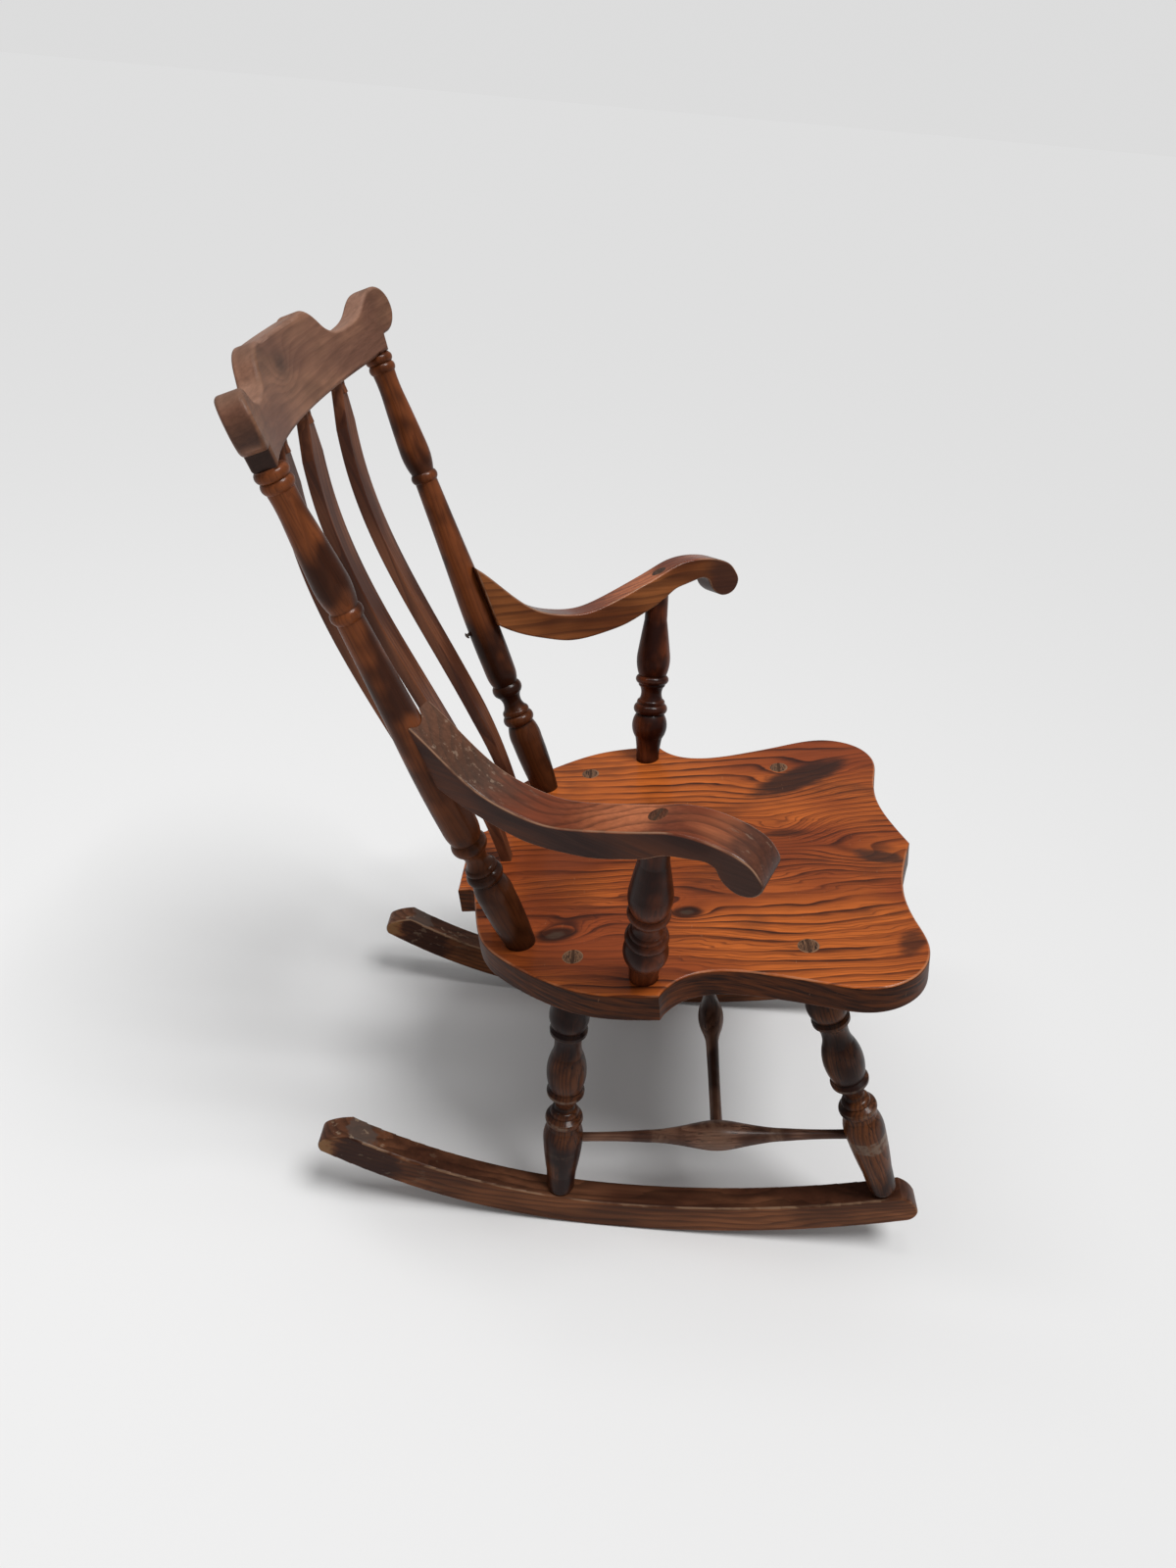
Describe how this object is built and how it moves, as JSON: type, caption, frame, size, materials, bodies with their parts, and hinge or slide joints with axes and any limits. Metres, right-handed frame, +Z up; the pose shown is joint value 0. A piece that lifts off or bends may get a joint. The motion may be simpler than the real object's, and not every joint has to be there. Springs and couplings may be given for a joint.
{
  "type": "rocking chair",
  "caption": "Wooden rocking chair with turned posts and legs, flat bowed back spindles, shaped crest rail, scrolled arms and curved rockers.",
  "frame": {"origin": "on the floor midway between the two places where the rockers touch it at rest", "axes": "+X to the sitter's left, +Y to the rear, +Z up"},
  "size_m": [0.7286, 0.8234, 1.018],
  "materials": {
    "seat_wood": "clear gloss over orange-brown stain, with dark streaks",
    "post_wood": "gloss over dark brown stain, worn on the rings",
    "back_wood": "satin mid brown",
    "arm_wood": "gloss reddish brown, worn dark on top at the rear",
    "rocker_wood": "satin mid brown, worn on the edges",
    "stretcher_wood": "satin dark brown",
    "wedge_wood": "bare end grain under gloss",
    "screw_steel": "dulled steel"
  },
  "bodies": {
    "root": {"seat": "seat_wood", "crest_rail": "back_wood", "right_spindle": "back_wood", "middle_spindle": "back_wood", "left_spindle": "back_wood", "right_back_post": "post_wood", "left_back_post": "post_wood", "right_arm": "arm_wood", "left_arm": "arm_wood", "right_arm_post": "post_wood", "left_arm_post": "post_wood", "right_front_leg": "post_wood", "left_front_leg": "post_wood", "right_rear_leg": "post_wood", "left_rear_leg": "post_wood", "right_rocker": "rocker_wood", "left_rocker": "rocker_wood", "right_side_stretcher": "stretcher_wood", "left_side_stretcher": "stretcher_wood", "cross_stretcher": "stretcher_wood", "right_arm_post_wedge": "wedge_wood", "left_arm_post_wedge": "wedge_wood", "right_front_leg_wedge": "wedge_wood", "left_front_leg_wedge": "wedge_wood", "right_rear_leg_wedge": "wedge_wood", "left_rear_leg_wedge": "wedge_wood", "left_arm_screw": "screw_steel"}
  },
  "joints": []
}
